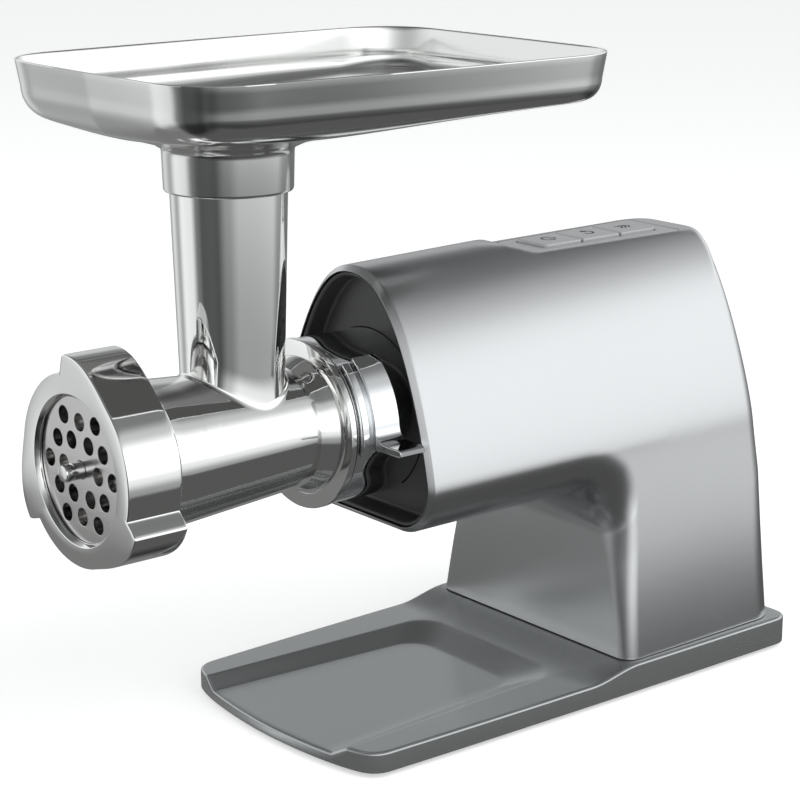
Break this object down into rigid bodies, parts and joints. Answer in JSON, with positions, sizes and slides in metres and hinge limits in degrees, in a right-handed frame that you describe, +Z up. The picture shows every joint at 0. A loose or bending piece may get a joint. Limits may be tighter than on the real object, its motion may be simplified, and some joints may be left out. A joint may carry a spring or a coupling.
{
  "type": "electric meat grinder",
  "caption": "Electric meat grinder: silver motor housing on a grey base, with a push-button top, a polished feed head with a ring nut and mincing plate, and a loading tray.",
  "frame": {"origin": "centre of the machine's footprint box, on the surface that its rubber feet stand on", "axes": "+Z is up; -Y is the front, where the minced food comes out, and the head and drive turn about a Y axis; +X is the side to the right of a person who looks along +Y from the front"},
  "size_m": [0.153, 0.3516, 0.2896],
  "materials": {
    "silver_body": "satin silver, fine metallic",
    "base_grey": "satin",
    "charcoal": "satin",
    "panel_grey": "satin",
    "button_grey": "satin",
    "polished_alloy": "polished",
    "chrome_trim": "polished",
    "plate_steel": "ground",
    "screw_alloy": "cast",
    "nylon": "moulded",
    "zinc_cast": "die-cast",
    "gear_steel": "machined",
    "can_steel": "zinc plated",
    "black_plastic": "moulded",
    "magnet": "sintered",
    "copper": "enamelled winding",
    "board_green": "solder mask",
    "spring_steel": "zinc plated",
    "rubber": "matt"
  },
  "bodies": {
    "housing": {"housing_shell": "silver_body", "front_bezel": "charcoal", "hub_socket": "chrome_trim", "base_plate": "base_grey", "base_cover": "charcoal", "foot_front_left": "rubber", "foot_front_right": "rubber", "foot_rear_left": "rubber", "foot_rear_right": "rubber", "base_screw_1": "spring_steel", "base_screw_2": "spring_steel", "base_screw_3": "spring_steel", "base_screw_4": "spring_steel", "button_panel": "panel_grey", "button_spring_power": "spring_steel", "button_spring_reverse": "spring_steel", "button_spring_speed": "spring_steel", "control_board": "board_green", "gearbox_housing": "zinc_cast", "gearbox_cover": "zinc_cast", "output_bearing": "gear_steel", "lay_pin": "gear_steel", "motor_can": "can_steel", "motor_front_cap": "can_steel", "motor_rear_cap": "black_plastic", "motor_magnet_left": "magnet", "motor_magnet_right": "magnet", "motor_bearing_front": "gear_steel", "motor_bearing_rear": "gear_steel", "carbon_brush_left": "magnet", "carbon_brush_right": "magnet", "power_board": "board_green", "cord_gland": "rubber"},
    "power_button": {"button_power": "button_grey"},
    "reverse_button": {"button_reverse": "button_grey"},
    "speed_button": {"button_speed": "button_grey"},
    "lock_lever": {"lock_lever": "chrome_trim"},
    "drive": {"output_gear": "gear_steel", "output_coupling": "gear_steel"},
    "lay": {"lay_gear": "nylon"},
    "rotor": {"motor_shaft": "gear_steel", "rotor_core": "copper", "commutator": "copper", "motor_fan": "black_plastic"},
    "head": {"head_barrel": "polished_alloy", "mincing_plate": "plate_steel", "worm_bush": "nylon"},
    "worm": {"worm_screw": "screw_alloy", "cutting_knife": "plate_steel"},
    "ring_nut": {"ring_nut": "polished_alloy"},
    "tray": {"tray": "polished_alloy"}
  },
  "joints": [
    {"name": "power_press", "type": "slide", "parent": "housing", "child": "power_button", "axis": [0, 0, -1], "range_m": [0, 0.0012], "stiffness_N_per_m": 300, "springref_m": -0.002, "deforming": ["button_spring_power"]},
    {"name": "reverse_press", "type": "slide", "parent": "housing", "child": "reverse_button", "axis": [0, 0, -1], "range_m": [0, 0.0012], "stiffness_N_per_m": 300, "springref_m": -0.002, "deforming": ["button_spring_reverse"]},
    {"name": "speed_press", "type": "slide", "parent": "housing", "child": "speed_button", "axis": [0, 0, -1], "range_m": [0, 0.0012], "stiffness_N_per_m": 300, "springref_m": -0.002, "deforming": ["button_spring_speed"]},
    {"name": "lever_turn", "type": "hinge", "parent": "housing", "child": "lock_lever", "pos_m": [0, -0.045, 0.1361], "axis": [0, -1, 0], "range_deg": [0, 40]},
    {"name": "rotor_spin", "type": "hinge", "parent": "housing", "child": "rotor", "pos_m": [0, 0, 0.1479], "axis": [0, 1, 0], "continuous": true},
    {"name": "lay_spin", "type": "hinge", "parent": "housing", "child": "lay", "pos_m": [0, 0, 0.1711], "axis": [0, 1, 0], "continuous": true},
    {"name": "drive_spin", "type": "hinge", "parent": "housing", "child": "drive", "pos_m": [0, 0, 0.1361], "axis": [0, 1, 0], "continuous": true},
    {"name": "head_slide", "type": "slide", "parent": "housing", "child": "head", "axis": [0, -1, 0], "range_m": [0, 0.06]},
    {"name": "worm_spin", "type": "hinge", "parent": "head", "child": "worm", "pos_m": [0, 0, 0.1361], "axis": [0, 1, 0], "continuous": true},
    {"name": "ring_turn", "type": "hinge", "parent": "head", "child": "ring_nut", "pos_m": [0, -0.158, 0.1361], "axis": [0, -1, 0], "range_deg": [0, 360]},
    {"name": "tray_lift", "type": "slide", "parent": "head", "child": "tray", "axis": [0, 0, 1], "range_m": [0, 0.03]}
  ],
  "couplings": [
    {"joint": "lay_spin", "follows": "rotor_spin", "ratio": -0.20833},
    {"joint": "drive_spin", "follows": "rotor_spin", "ratio": 0.034722},
    {"joint": "worm_spin", "follows": "rotor_spin", "ratio": 0.034722}
  ]
}
